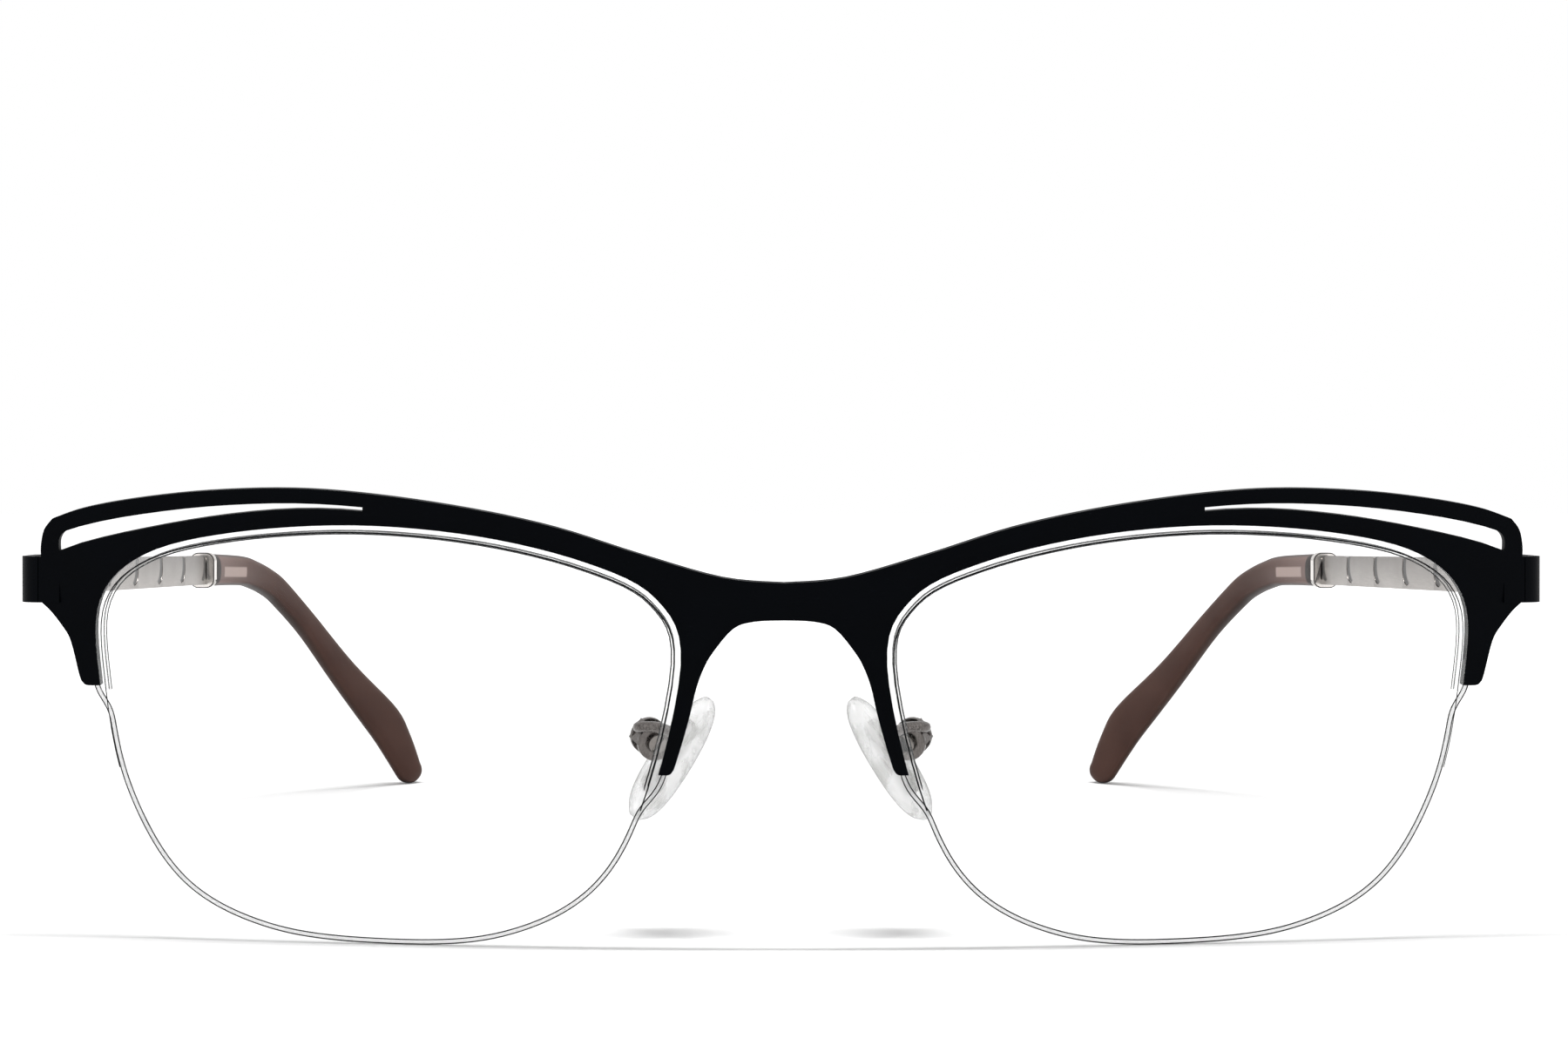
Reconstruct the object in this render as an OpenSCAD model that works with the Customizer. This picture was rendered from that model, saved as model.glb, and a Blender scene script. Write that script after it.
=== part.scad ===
// Half-rim metal browline glasses with open temples, standing on a table.
// The front faces -Y and +Z is up. Left is -X, as seen from the front.
// Millimetres. The origin is under the middle of the outer box, on the table.

/* [Lenses] */
// Width of a lens
lens_w = 52; // [47:0.5:57]
// Height of a lens
lens_h = 37.3; // [32:0.1:43]
// Thickness of a lens
lens_t = 2; // [1.6:0.1:3]
// Depth of the groove in the edge of a lens
groove_d = 0.4; // [0.3:0.05:0.6]
// Diameter of the nylon cord under a lens
cord_d = 0.56; // [0.4:0.02:0.8]
// Width of the clear liner between brow and lens
liner_w = 0.5; // [0.3:0.05:0.8]
// Depth of the liner, front to back
liner_t = 1.4; // [1:0.1:1.8]

/* [Brow front] */
// Distance between the lenses
bridge_w = 19.2; // [16:0.2:23]
// Height of the bridge
bridge_h = 3.3; // [2.5:0.1:4.5]
// Drop from the top of the lens to the top of the bridge
bridge_drop = 4.3; // [3.5:0.1:5.5]
// Rise of the brow over the top of the lens
brow_rise = 3.7; // [3:0.1:5]
// Thickness of the sheet
sheet_t = 1; // [0.8:0.1:1.4]
// Radius of the wrap of the front
wrap_r = 270; // [220:10:400]
// Lean of the front, bottom towards the face, in degrees
tilt = 6; // [3:0.5:9]
// Height of the bar over the slot at its inner end
bar_h_in = 1.25; // [1:0.05:1.5]
// Height of the bar over the slot at its outer end
bar_h_out = 1.6; // [1.3:0.05:2.2]
// Height of the slot at its inner end
slot_h_in = 0.35; // [0.2:0.05:0.5]
// Height of the slot at its outer end
slot_h_out = 1.55; // [1:0.05:1.8]
// Length of the slot
slot_len = 28.2; // [20:0.2:30]
// Rounding of the slot's outer end
slot_round = 0.8; // [0.4:0.05:1]
// Width of the nasal leg at its end
nasal_leg_w = 1.3; // [1.2:0.05:1.8]
// Width of the temporal leg at its end
temporal_leg_w = 1.7; // [1.4:0.05:2.2]
// Length of the temporal leg below the end piece
temporal_leg_l = 7.4; // [6:0.1:9]

/* [End pieces and hinges] */
// Distance from the outer edge of a lens to the outer face of the end piece
end_w = 7.9; // [7:0.1:9.5]
// Height of the end piece
lug_h = 4.2; // [4:0.1:5.2]
// Drop from the top of the lens to the middle of the end piece
lug_drop = 5.2; // [4.6:0.1:5.8]
// Straight length of the end piece behind its bend
lug_len = 4.6; // [4:0.1:6]
// Radius of the bend, to the middle of the sheet
bend_r = 2; // [1.5:0.1:2.6]
// Thickness of a hinge leaf
leaf_t = 0.6; // [0.5:0.05:0.8]
// Height of the hinge, over its three knuckles
hinge_h = 3.6; // [3.2:0.1:3.9]
// Radius of a knuckle
knuckle_r = 1.3; // [1.1:0.05:1.5]
// Radius of the hinge screw's shank
hinge_screw_r = 0.6; // [0.45:0.05:0.75]
// Radial clearance round a screw
screw_gap = 0.04; // [0.02:0.01:0.08]

/* [Temples] */
// Length of the metal temple from the hinge to its tip
shaft_len = 71.5; // [62:0.5:80]
// Height of the temple strip
strip_h = 3.4; // [3:0.1:4.2]
// Thickness of the temple strip
strip_t = 1; // [0.8:0.05:1.4]
// Drop of the temple from hinge to collar
shaft_drop = 1.7; // [0:0.1:3]
// Inward lean of the open temple, in degrees
temple_in = 2; // [0:0.25:4]
// Number of petals on a temple
petals = 5; // [3:1:5]
// Length of one petal
petal_pitch = 11.2; // [9:0.1:11.5]
// Depth of the notch between two petals
notch_d = 0.7; // [0.3:0.05:1]
// Depth of the pressed line behind each petal
press_d = 0.2; // [0.1:0.02:0.3]
// Length of the collar
collar_l = 1.6; // [1.2:0.1:3]
// Height of the collar
collar_h = 4.2; // [4:0.1:4.8]
// Thickness of the collar
collar_t = 2.9; // [2.7:0.1:3.4]

/* [Temple tips] */
// Reach of the tip behind the collar
tip_reach = 54.3; // [48:0.1:62]
// Radius of the inward curve of the tip
ear_r = 90; // [78:1:140]
// Height of the tip at the collar
tip_h = 4; // [3.6:0.1:4.6]
// Widest part of the tip
paddle_w = 5.4; // [4.6:0.1:6.2]
// Width of the round end of the tip
tip_end_w = 3.6; // [3.2:0.1:4.4]
// Thickness of the tip at the collar
tip_t = 2.7; // [2.5:0.1:3.1]
// Height of the metal core in the tip
core_h = 2; // [1.4:0.1:2.4]
// Thickness of the metal core
core_t = 0.9; // [0.7:0.05:1]
// Clearance round the core
core_gap = 0.03; // [0.02:0.01:0.06]

/* [Nose pads] */
// Distance from the edge of the lens to the pad screw
pad_out = 2.2; // [1.8:0.1:3]
// Distance of the pad screw behind the bridge
pad_back = 9.2; // [8:0.1:11]
// Height of the pad screw, as a share of the lens height
pad_level = 0.47; // [0.43:0.01:0.51]
// Slant of a pad seen from the front, in degrees
pad_slant = 33; // [27:1:38]
// Splay of a pad seen from above, in degrees
pad_splay = 25; // [15:1:35]
// Length of a pad
pad_l = 13; // [11:0.1:15]
// Width of a pad
pad_w = 7; // [6:0.1:8]
// Thickness of a pad
pad_t = 2.4; // [2:0.1:3]
// Diameter of the pad arm wire
arm_d = 1; // [0.9:0.05:1.2]
// Radius of the round cheeks of the pad box
cheek_r = 1.7; // [1.6:0.05:2]
// Radius of the pad screw's shank
pad_screw_r = 0.5; // [0.4:0.02:0.6]

/* [Hidden] */
$fn = 64;
wall_fn = 360;

left = -1;
right = 1;
// Face clearances: between a moving and a fixed flat face, and round a piece that is pressed in
face_gap = 0.05;
fit_gap = 0.03;

// Half width of the front and the two edges of a lens
half_w = bridge_w / 2 + lens_w + end_w;
nasal_x = bridge_w / 2;
temporal_x = nasal_x + lens_w;

// Smooth curve through hand-set points
function bend(a, b, c, d, t) =
    0.5 * (2 * b + (c - a) * t + (2 * a - 5 * b + 4 * c - d) * t * t
        + (3 * b - a - 3 * c + d) * t * t * t);
function curve(p, n) = concat(
    [for (i = [0:len(p) - 2]) for (k = [0:n - 1])
        bend(p[max(i - 1, 0)], p[i], p[i + 1], p[min(i + 2, len(p) - 1)], k / n)],
    [p[len(p) - 1]]);
function loop_of(p, n) = let (m = len(p))
    [for (i = [0:m - 1]) for (k = [0:n - 1])
        bend(p[(i + m - 1) % m], p[i], p[(i + 1) % m], p[(i + 2) % m], k / n)];
function unit(v) = v / norm(v);
function outward(p, i) = let (m = len(p), d = unit(p[(i + 1) % m] - p[(i + m - 1) % m])) [-d.y, d.x];
function at(p, i, w) = let (m = len(p), j = (i + m) % m) p[j] + w * outward(p, j);
function grown(p, w) = [for (i = [0:len(p) - 1]) at(p, i, w)];
function strip_of(p, i0, i1, a, b) = concat(
    [for (i = [i0:i1]) at(p, i, a)], [for (i = [i1:-1:i0]) at(p, i, b)]);

// Outline of a lens, as shares of its width from the nose and of its height, clockwise
lens_shape = [[0, 0.688], [0.038, 0.836], [0.152, 0.918], [0.335, 0.978], [0.546, 1], [0.758, 0.977],
    [0.912, 0.921], [0.99, 0.816], [0.995, 0.635], [0.961, 0.366], [0.865, 0.137], [0.71, 0.027],
    [0.508, 0], [0.306, 0.022], [0.148, 0.132], [0.058, 0.34]];
lens_steps = 6;
lens_edge = loop_of([for (p = lens_shape) [nasal_x + p.x * lens_w, p.y * lens_h]], lens_steps);
edge_n = len(lens_edge);
// Stretch of the edge that the brow holds, and stretch that the cord holds
brow_from = -4;
brow_to = 49;
cord_from = 50;
cord_to = 90;

// Top edge of the brow: share of the half width, and share of the rise from bridge to brow top
top_shape = [[0, 0], [0.078, 0.06], [0.183, 0.318], [0.289, 0.605], [0.396, 0.8], [0.518, 0.944],
    [0.626, 1], [0.738, 0.957], [0.835, 0.851], [0.906, 0.727], [0.95, 0.595]];
bridge_top = lens_h - bridge_drop;
top_edge = curve([for (p = top_shape)
    [p.x * half_w, bridge_top + p.y * (bridge_drop + brow_rise)]], 5);
lug_z = lens_h - lug_drop;
corner_x = half_w - 1.15 * bend_r;
corner = curve([top_edge[len(top_edge) - 1], [corner_x - 0.175 * bend_r, lug_z + 1.1 * lug_h],
    [corner_x, lug_z + 0.74 * lug_h], [corner_x, lug_z + 0.45 * lug_h]], 4);

// Lower edge of the end piece, down the temporal leg
leg_top = lug_z - lug_h / 2;
leg_x = temporal_x + liner_w + temporal_leg_w;
leg_low = leg_top - temporal_leg_l;
leg_shape = [[0.94, 0.74], [0.44, 0.55], [0, 0.135], [-0.2, 0.034], [-0.53, 0], [-1.53, 0.014]];
leg_edge = curve(concat(
    [[corner_x, leg_top], [corner_x - 0.4 * bend_r, leg_low + 0.905 * temporal_leg_l]],
    [for (p = leg_shape) [leg_x + p.x * temporal_leg_w, leg_low + p.y * temporal_leg_l]]), 4);

// Nasal leg, up its nose side and into the arch under the bridge
arch_z = bridge_top - bridge_h;
leg_end = 0.42 * at(lens_edge, -5, liner_w) + 0.58 * at(lens_edge, -4, liner_w);
leg_side = [for (i = [-4:-1]) at(lens_edge, i, liner_w + nasal_leg_w * (1.32 + 0.1 * i))];
arch_shape = [[0.741, 0.118], [0.655, 0.078], [0.465, 0.02], [0.27, 0.003], [0, 0]];
arch = curve(concat([for (p = [[0.6, 0.04], [-0.5, 0], [-0.85, 0.1], [-1, 0.32]])
    leg_end + nasal_leg_w * p],
    leg_side, [for (p = arch_shape) [p.x * nasal_x, arch_z - p.y * lens_h]]), 4);

// The slot follows the top edge at the height of the bar
slot_x1 = corner_x - 0.87 * bend_r;
slot_x0 = slot_x1 - slot_len;
slot_n = 14;
function slot_share(k) = let (t = k / slot_n) t * t * (3 - 2 * t);
function slot_top(k) = let (x = slot_x0 + slot_len * k / slot_n)
    [x, lookup(x, top_edge) - bar_h_in - (bar_h_out - bar_h_in) * k / slot_n];
function slot_h(k) = slot_h_in + (slot_h_out - slot_h_in) * slot_share(k);
slot_corner = slot_top(slot_n);
slot_end = curve([slot_top(slot_n - 0.6), slot_top(slot_n - 0.3),
    slot_corner + slot_round * [-0.25, -0.2], slot_corner + slot_round * [0, -0.9],
    slot_corner - [0, slot_h(slot_n)]], 3);
slot = concat([for (k = [0:slot_n - 1]) slot_top(k)], slot_end,
    [for (k = [slot_n - 1:-1:0]) slot_top(k) - [0, slot_h(k)]]);

brow_half = concat(top_edge, [for (i = [1:len(corner) - 1]) corner[i]], leg_edge, arch);
brow_left = [for (i = [len(brow_half) - 2:-1:1]) [-brow_half[i].x, brow_half[i].y]];
brow_outline = concat(brow_half, brow_left);

// Wrap: depth of the middle of the sheet at a distance from the bridge
function sag(x) = wrap_r - sqrt(wrap_r * wrap_r - x * x);
bend_a = asin((half_w - sheet_t / 2 - bend_r) / (wrap_r - bend_r));
bend_c = [(wrap_r - bend_r) * sin(bend_a), wrap_r - (wrap_r - bend_r) * cos(bend_a)];

// Lean of the front round the end pieces, and the lift that sets the cords on the table
pivot = [0, sag(bend_c.x), lug_z];
function leaned(p) = let (q = p - pivot)
    [p.x, pivot.y + q.y * cos(tilt) - q.z * sin(tilt), pivot.z + q.y * sin(tilt) + q.z * cos(tilt)];

// Route of the cord: out of the nasal leg, round the groove and into the temporal leg
cord_r = cord_d / 2;
cord_out = cord_r + fit_gap / 2 - groove_d;
cord_hold = liner_w + 0.5;
cord_flat = concat([for (i = [cord_from - 2, cord_from - 1]) at(lens_edge, i, cord_hold)],
    [for (i = [cord_from:cord_to]) at(lens_edge, i, cord_out)],
    [for (i = [cord_to + 1, cord_to + 2]) at(lens_edge, i, cord_hold)]);
cord_route = [for (p = cord_flat) [p.x, sag(p.x), p.y]];
lift = cord_r - min([for (p = cord_route) leaned(p).z]);

// Hinge axis of the right temple, in the upright frame
leaf_x = knuckle_r + 2 * face_gap;
hinge_x = half_w - sheet_t - leaf_t - leaf_x;
hinge_y = bend_c.y + lug_len;
hinge_z = lug_z + lift;
strip_x = half_w - sheet_t - hinge_x;
mid_x = strip_x + strip_t / 2;

// Temple tip: lower edge as shares of its reach and of the collar's height, and its width there
collar_z = hinge_z - shaft_drop - tip_h / 2;
tip_r = tip_end_w / 2;
end_a = 52;
end_n = [sin(end_a), cos(end_a)];
end_d = [cos(end_a), -sin(end_a)];
lobe = [tip_reach - tip_r, tip_r];
lobe_base = lobe - tip_r * end_n;
tip_shape = [[0, 1, tip_h], [0.25, 0.987, tip_h * 0.94], [0.33, 0.969, tip_h * 0.91],
    [0.406, 0.934, tip_h * 0.89], [0.473, 0.88, tip_h * 0.88], [0.597, 0.727, tip_h * 0.85],
    [0.728, 0.49, paddle_w * 0.78], [0.844, 0.26, paddle_w], [0.893, 0.148, paddle_w * 0.89]];
tip_line = curve(concat([for (p = tip_shape) [p.x * tip_reach, p.y * collar_z, p.z]],
    [[lobe_base.x, lobe_base.y, tip_end_w]]), 4);
tip_n = len(tip_line);
function tip_low(i) = [tip_line[i].x, tip_line[i].y];
function tip_up(i) = i == 0 ? [0, 1] : i == tip_n - 1 ? end_n :
    let (d = unit(tip_low(i + 1) - tip_low(i - 1))) [-d.y, d.x];
function tip_mid(i) = tip_low(i) + tip_up(i) * tip_line[i].z / 2;
core_last = 26;
tip_sides = 14;
dome_n = 5;
paddle_t = tip_t * 0.85;

// A point on the tip's curved middle sheet, off by d towards the outside, in the temple's frame
function on_ear(p, d) = let (a = asin(p.x / ear_r))
    [mid_x - ear_r + (ear_r + d) * cos(a), shaft_len + (ear_r + d) * sin(a), p.y - hinge_z];
function soft(v) = sign(v) * pow(abs(v), 0.72);
function tip_ring(c, h, t) = [for (k = [0:tip_sides - 1]) let (a = 360 * k / tip_sides)
    on_ear(c + h * soft(cos(a)), soft(sin(a)) * t / 2)];
function tip_thick(i) = tip_t + (paddle_t - tip_t) * i / (tip_n - 1);
tip_rings = concat(
    [for (i = [0:tip_n - 1]) tip_ring(tip_mid(i), tip_up(i) * tip_line[i].z / 2, tip_thick(i))],
    [for (j = [1:dome_n]) let (a = 80 * j / dome_n)
        tip_ring(lobe + end_d * tip_r * sin(a), end_n * tip_r * cos(a), paddle_t * pow(cos(a), 0.7))]);

// Depth of the whole, which sets the origin
rear_y = hinge_y + max([for (r = tip_rings) for (p = r) p.x * sin(temple_in) + p.y * cos(temple_in)]);
front_y = min(min([for (p = top_edge) leaned([p.x, sag(p.x) - sheet_t / 2, p.y]).y]),
    min([for (p = lens_edge) leaned([p.x, sag(p.x) - lens_t / 2, p.y]).y]));
shift_y = -(rear_y + front_y) / 2;

// Pad screw of the right pad
pad_at = [nasal_x + pad_out, pad_back, pad_level * lens_h + lift];

module mirrored(side) { mirror([side == left ? 1 : 0, 0, 0]) children(); }
module placed() { translate([0, shift_y, 0]) children(); }
module on_front(side = right) {
    placed() translate([0, 0, lift]) translate(pivot) rotate([tilt, 0, 0]) translate(-pivot)
        mirrored(side) children();
}
module on_hinge(side) { placed() mirrored(side) translate([hinge_x, hinge_y, hinge_z]) children(); }
module on_temple(side) { on_hinge(side) rotate([0, 0, temple_in]) children(); }
module on_pad(side) {
    placed() mirrored(side) translate(pad_at)
        rotate([0, -pad_slant, 0]) rotate([0, 0, -pad_splay]) children();
}

// A flat outline in X and Z, wrapped as a sheet of thickness t
module wrapped(t) {
    intersection() {
        translate([0, wrap_r / 8 - t, 0]) rotate([90, 0, 0])
            linear_extrude(wrap_r / 4, center = true) children();
        translate([0, wrap_r, -lens_h]) difference() {
            cylinder(r = wrap_r + t / 2, h = 3 * lens_h, $fn = wall_fn);
            translate([0, 0, -1]) cylinder(r = wrap_r - t / 2, h = 3 * lens_h + 2, $fn = wall_fn);
        }
    }
}

// A round tube through the points of a route; the reference is never along the route
module tube(route, r, sides, ref) {
    n = len(route);
    points = [for (i = [0:n - 1])
        let (t = unit(route[min(i + 1, n - 1)] - route[max(i - 1, 0)]))
        let (u = unit(cross(t, ref)), v = cross(u, t))
        for (k = [0:sides - 1]) let (a = 360 * k / sides) route[i] + r * (cos(a) * u + sin(a) * v)];
    ringed(points, n, sides);
}

// A closed skin over n rings of points
module ringed(points, n, sides) {
    walls = [for (i = [0:n - 2]) for (k = [0:sides - 1])
        let (a = i * sides + k, b = i * sides + (k + 1) % sides)
        each [[a, b, a + sides], [b, b + sides, a + sides]]];
    first = [for (k = [sides - 1:-1:0]) k];
    last = [for (k = [0:sides - 1]) (n - 1) * sides + k];
    polyhedron(points, concat(walls, [first, last]));
}

// Stamped front sheet with its end pieces bent back
module brow_front() color("#0b0d10") {
    on_front() difference() {
        wrapped(sheet_t) difference() {
            polygon(brow_outline);
            for (side = [left, right]) mirrored(side) {
                polygon(grown(lens_edge, liner_w));
                polygon(slot);
            }
        }
        for (side = [left, right]) mirrored(side) cord_holes();
    }
    for (side = [left, right]) placed() mirrored(side)
        translate([0, 0, hinge_z - lug_h / 2]) linear_extrude(lug_h) lug_plan();
}

// Blind holes in the ends of the two legs, where the cord is held
module cord_holes() {
    hole_r = cord_r + fit_gap;
    m = len(cord_route);
    bore_to(cord_route[1], cord_route[0], hole_r);
    bore_to(cord_route[m - 2], cord_route[m - 1], hole_r);
}

module bore_to(mouth, end, r) {
    d = end - mouth;
    translate(mouth) rotate([0, acos(d.z / norm(d)), atan2(d.y, d.x)])
        translate([0, 0, -0.5]) cylinder(r = r, h = norm(d) + 0.5 + fit_gap, $fn = 24);
}

// Plan of an end piece: along the wrap, round the bend and straight back
module lug_plan() {
    reach = 2;
    intersection() {
        translate([0, wrap_r]) ring_of(wrap_r, sheet_t, wall_fn);
        polygon([[wrap_r * sin(bend_a) - reach, 0], [wrap_r * sin(bend_a), 0],
            [wrap_r * sin(bend_a), bend_c.y], [wrap_r * sin(bend_a) - reach, bend_c.y]]);
    }
    intersection() {
        translate(bend_c) ring_of(bend_r, sheet_t, $fn);
        polygon([bend_c, bend_c + 2 * bend_r * [sin(bend_a) - 0.02, -cos(bend_a)],
            bend_c + [2 * bend_r, -2 * bend_r], bend_c + [2 * bend_r, 0]]);
    }
    translate([half_w - sheet_t, bend_c.y]) square([sheet_t, lug_len - face_gap]);
}

module ring_of(r, t, n) {
    difference() {
        circle(r = r + t / 2, $fn = n);
        circle(r = r - t / 2, $fn = n);
    }
}

// Clear lens with a groove all round its edge
module lens(side) color("#dfe8ea", 0.35) on_front(side) difference() {
    wrapped(lens_t) polygon(lens_edge);
    wrapped(cord_d + 2 * fit_gap) difference() {
        polygon(grown(lens_edge, 1));
        polygon(grown(lens_edge, -groove_d));
    }
}

// Clear liner under the brow, with a rib in the groove of the lens
module rim_liner(side) color("#eef2f2", 0.6) on_front(side) {
    wrapped(liner_t) polygon(strip_of(lens_edge, brow_from, brow_to, 0, liner_w));
    wrapped(cord_d) polygon(strip_of(lens_edge, brow_from, brow_to, fit_gap - groove_d, liner_w / 2));
}

// Nylon cord in the lower groove, with both ends in the legs
module lens_cord(side) color("#f2f4f4", 0.6) on_front(side) tube(cord_route, cord_r, 8, [0, 1, 0]);

// Two knuckles and a leaf on the inside of the end piece
module hinge_front_leaf(side) color("silver") on_hinge(side) {
    knuckle_h = hinge_h * 0.3;
    leaf_l = lug_len - 0.2;
    difference() {
        union() {
            translate([leaf_x, -leaf_l, -hinge_h / 2]) cube([leaf_t, leaf_l - face_gap, hinge_h]);
            for (z = [-hinge_h / 2, hinge_h / 2 - knuckle_h]) translate([0, 0, z]) {
                cylinder(r = knuckle_r, h = knuckle_h);
                translate([0, -knuckle_r, 0]) cube([leaf_x + leaf_t / 2, knuckle_r - face_gap, knuckle_h]);
            }
        }
        cylinder(r = hinge_screw_r + screw_gap, h = 2 * hinge_h, center = true);
    }
}

// One knuckle and a leaf on the inside of the temple
module hinge_temple_leaf(side) color("silver") on_temple(side) {
    knuckle_h = hinge_h * 0.4 - 2 * face_gap;
    leaf_l = 8;
    leaf_h = strip_h - 0.6;
    difference() {
        union() {
            translate([leaf_x, 2 * face_gap, -leaf_h / 2]) cube([leaf_t, leaf_l, leaf_h]);
            translate([0, 0, -knuckle_h / 2]) {
                cylinder(r = knuckle_r, h = knuckle_h);
                translate([0, face_gap, 0]) cube([leaf_x + leaf_t / 2, knuckle_r - face_gap, knuckle_h]);
            }
        }
        cylinder(r = hinge_screw_r + screw_gap, h = 2 * hinge_h, center = true);
    }
}

// Hinge screw with a slotted head on the top knuckle
module hinge_screw(side) color("silver") on_hinge(side) {
    head_h = 0.5;
    head_r = knuckle_r * 0.8;
    difference() {
        union() {
            translate([0, 0, -hinge_h / 2]) cylinder(r = hinge_screw_r, h = hinge_h + head_h);
            translate([0, 0, hinge_h / 2]) cylinder(r = head_r, h = head_h);
        }
        translate([0, 0, hinge_h / 2 + head_h]) cube([3 * head_r, 0.3, 0.5], center = true);
    }
}

// Top edge of the strip over one petal: level, then round at its rear end
petal_y0 = shaft_len - collar_l - petals * petal_pitch;
function petal_dip(t) = t < 0.12 ? 0.25 * (1 - t / 0.12)
    : t > 0.84 ? 1 - sqrt(1 - pow((t - 0.84) / 0.16, 2)) : 0;
function shaft_z(y) = -shaft_drop * y / shaft_len;
petal_steps = [0, 0.06, 0.12, 0.84, 0.89, 0.93, 0.96, 0.98, 0.995];
strip_edge = concat([[face_gap, strip_h / 2]],
    [for (i = [0:petals - 1]) for (t = petal_steps)
        [petal_y0 + (i + t) * petal_pitch, strip_h / 2 - notch_d * petal_dip(t)]],
    [[shaft_len - collar_l, strip_h / 2 - notch_d], [shaft_len - collar_l, -strip_h / 2],
        [face_gap, -strip_h / 2]]);

// Core of the tip: a bar along the middle of the tip, as far as the paddle
function core_edge(s) = [for (i = [0:core_last]) tip_mid(i) + s * (core_h / 2) * tip_up(i)];
function reversed(p) = [for (i = [len(p) - 1:-1:0]) p[i]];

module bar_in_tip(h_gap, t) {
    edge = concat(core_edge(1 + h_gap / core_h), reversed(core_edge(-1 - h_gap / core_h)));
    translate([mid_x - ear_r, shaft_len, -hinge_z]) intersection() {
        rotate([90, 0, 90]) linear_extrude(2 * ear_r) polygon(edge);
        difference() {
            cylinder(r = ear_r + t / 2, h = 2 * hinge_z, $fn = wall_fn);
            translate([0, 0, -1]) cylinder(r = ear_r - t / 2, h = 2 * hinge_z + 2, $fn = wall_fn);
        }
    }
}

// Metal temple: petalled strip, running on as the core of the tip
module temple(side) color("#a9a5a1") on_temple(side) {
    core_z = tip_mid(0).y - hinge_z;
    difference() {
        translate([strip_x, 0, 0]) rotate([90, 0, 90]) linear_extrude(strip_t)
            polygon([for (p = strip_edge) [p.x, p.y + shaft_z(p.x)]]);
        for (i = [1:petals - 1]) for (x = [strip_x - strip_t, strip_x + strip_t - press_d])
            translate([x, 0, 0]) rotate([90, 0, 90])
                linear_extrude(strip_t + (x < strip_x ? press_d : 0)) press_line(petal_y0 + i * petal_pitch);
    }
    translate([mid_x - core_t / 2, shaft_len - collar_l - 1, core_z - core_h / 2])
        cube([core_t, collar_l + 1, core_h]);
    bar_in_tip(0, core_t);
}

// Crescent behind the round end of a petal
module press_line(y) {
    r = strip_h * 0.5;
    translate([y - r + 0.1, shaft_z(y) + strip_h * 0.12]) difference() {
        circle(r = r);
        translate([-0.35, 0.12]) circle(r = r + 0.05);
    }
}

// Collar round the core, between strip and tip
module collar(side) color("#c9c7c4") on_temple(side) {
    core_z = tip_mid(0).y - hinge_z;
    translate([mid_x, shaft_len - collar_l, core_z]) rotate([-90, 0, 0])
        linear_extrude(collar_l) difference() {
            rounded(collar_t, collar_h, 1);
            square([core_t + 2 * core_gap, core_h + 2 * core_gap], center = true);
        }
}

module rounded(w, h, r) {
    square([w - 2 * r, h], center = true);
    square([w, h - 2 * r], center = true);
    for (x = [-1, 1]) for (y = [-1, 1]) translate([x * (w / 2 - r), y * (h / 2 - r)]) circle(r = r);
}

// Dark tip that sleeves the core
module temple_tip(side) color("#4f3a33") on_temple(side) difference() {
    ringed([for (r = tip_rings) each r], len(tip_rings), tip_sides);
    bar_in_tip(2 * core_gap, core_t + 2 * core_gap);
}

// Box with two round cheeks, and the wire that joins it to the nasal leg
cheek_t = 0.5;
tab_t = 1.2;
tab_r = 0.9;
cheek_in = tab_t / 2 + 2 * face_gap;
box_back = 1;
function splayed(p) = let (a = pad_splay) [p.x * cos(a) + p.y * sin(a), p.y * cos(a) - p.x * sin(a), p.z];
function slanted(p) = let (b = pad_slant) [p.x * cos(b) - p.z * sin(b), p.y, p.x * sin(b) + p.z * cos(b)];
function from_pad(p) = pad_at + slanted(splayed(p));
foot_flat = at(lens_edge, -3, liner_w + nasal_leg_w / 2);
foot_y = sag(foot_flat.x) + sheet_t / 2 + 2 * fit_gap;
foot = leaned([foot_flat.x, foot_y, foot_flat.y]) + [0, 0, lift];
arm_points = [foot, foot + 1.2 * [0, cos(tilt), sin(tilt)], foot + [1.6, 3, 0.6],
    from_pad([box_back + 1.6, -1.7, 0.5]), from_pad([box_back + cheek_t, 0, 0.3])];

module pad_arm(side) color("silver") {
    on_pad(side) difference() {
        union() {
            for (y = [cheek_in, -cheek_in - cheek_t]) translate([0, y, 0]) rotate([-90, 0, 0])
                cylinder(r = cheek_r, h = cheek_t);
            translate([box_back, -cheek_in - cheek_t, -cheek_r * 0.6])
                cube([cheek_t, 2 * (cheek_in + cheek_t), cheek_r * 1.2]);
        }
        rotate([90, 0, 0]) cylinder(r = pad_screw_r + screw_gap, h = 6 * cheek_t, center = true);
    }
    placed() mirrored(side) tube(curve(arm_points, 4), arm_d / 2, 10, [0, 0, 1]);
}

// Small slotted screw through box and tab, its head to the front
module pad_screw(side) color("silver") on_pad(side) {
    head_h = 0.45;
    front = -cheek_in - cheek_t;
    difference() {
        union() {
            translate([0, front, 0]) rotate([-90, 0, 0])
                cylinder(r = pad_screw_r, h = 2 * (cheek_in + cheek_t));
            translate([0, front - head_h, 0]) rotate([-90, 0, 0])
                cylinder(r = pad_screw_r * 1.8, h = head_h);
        }
        translate([0, front - head_h, 0]) cube([0.28, 0.4, 3 * pad_screw_r], center = true);
    }
}

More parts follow.
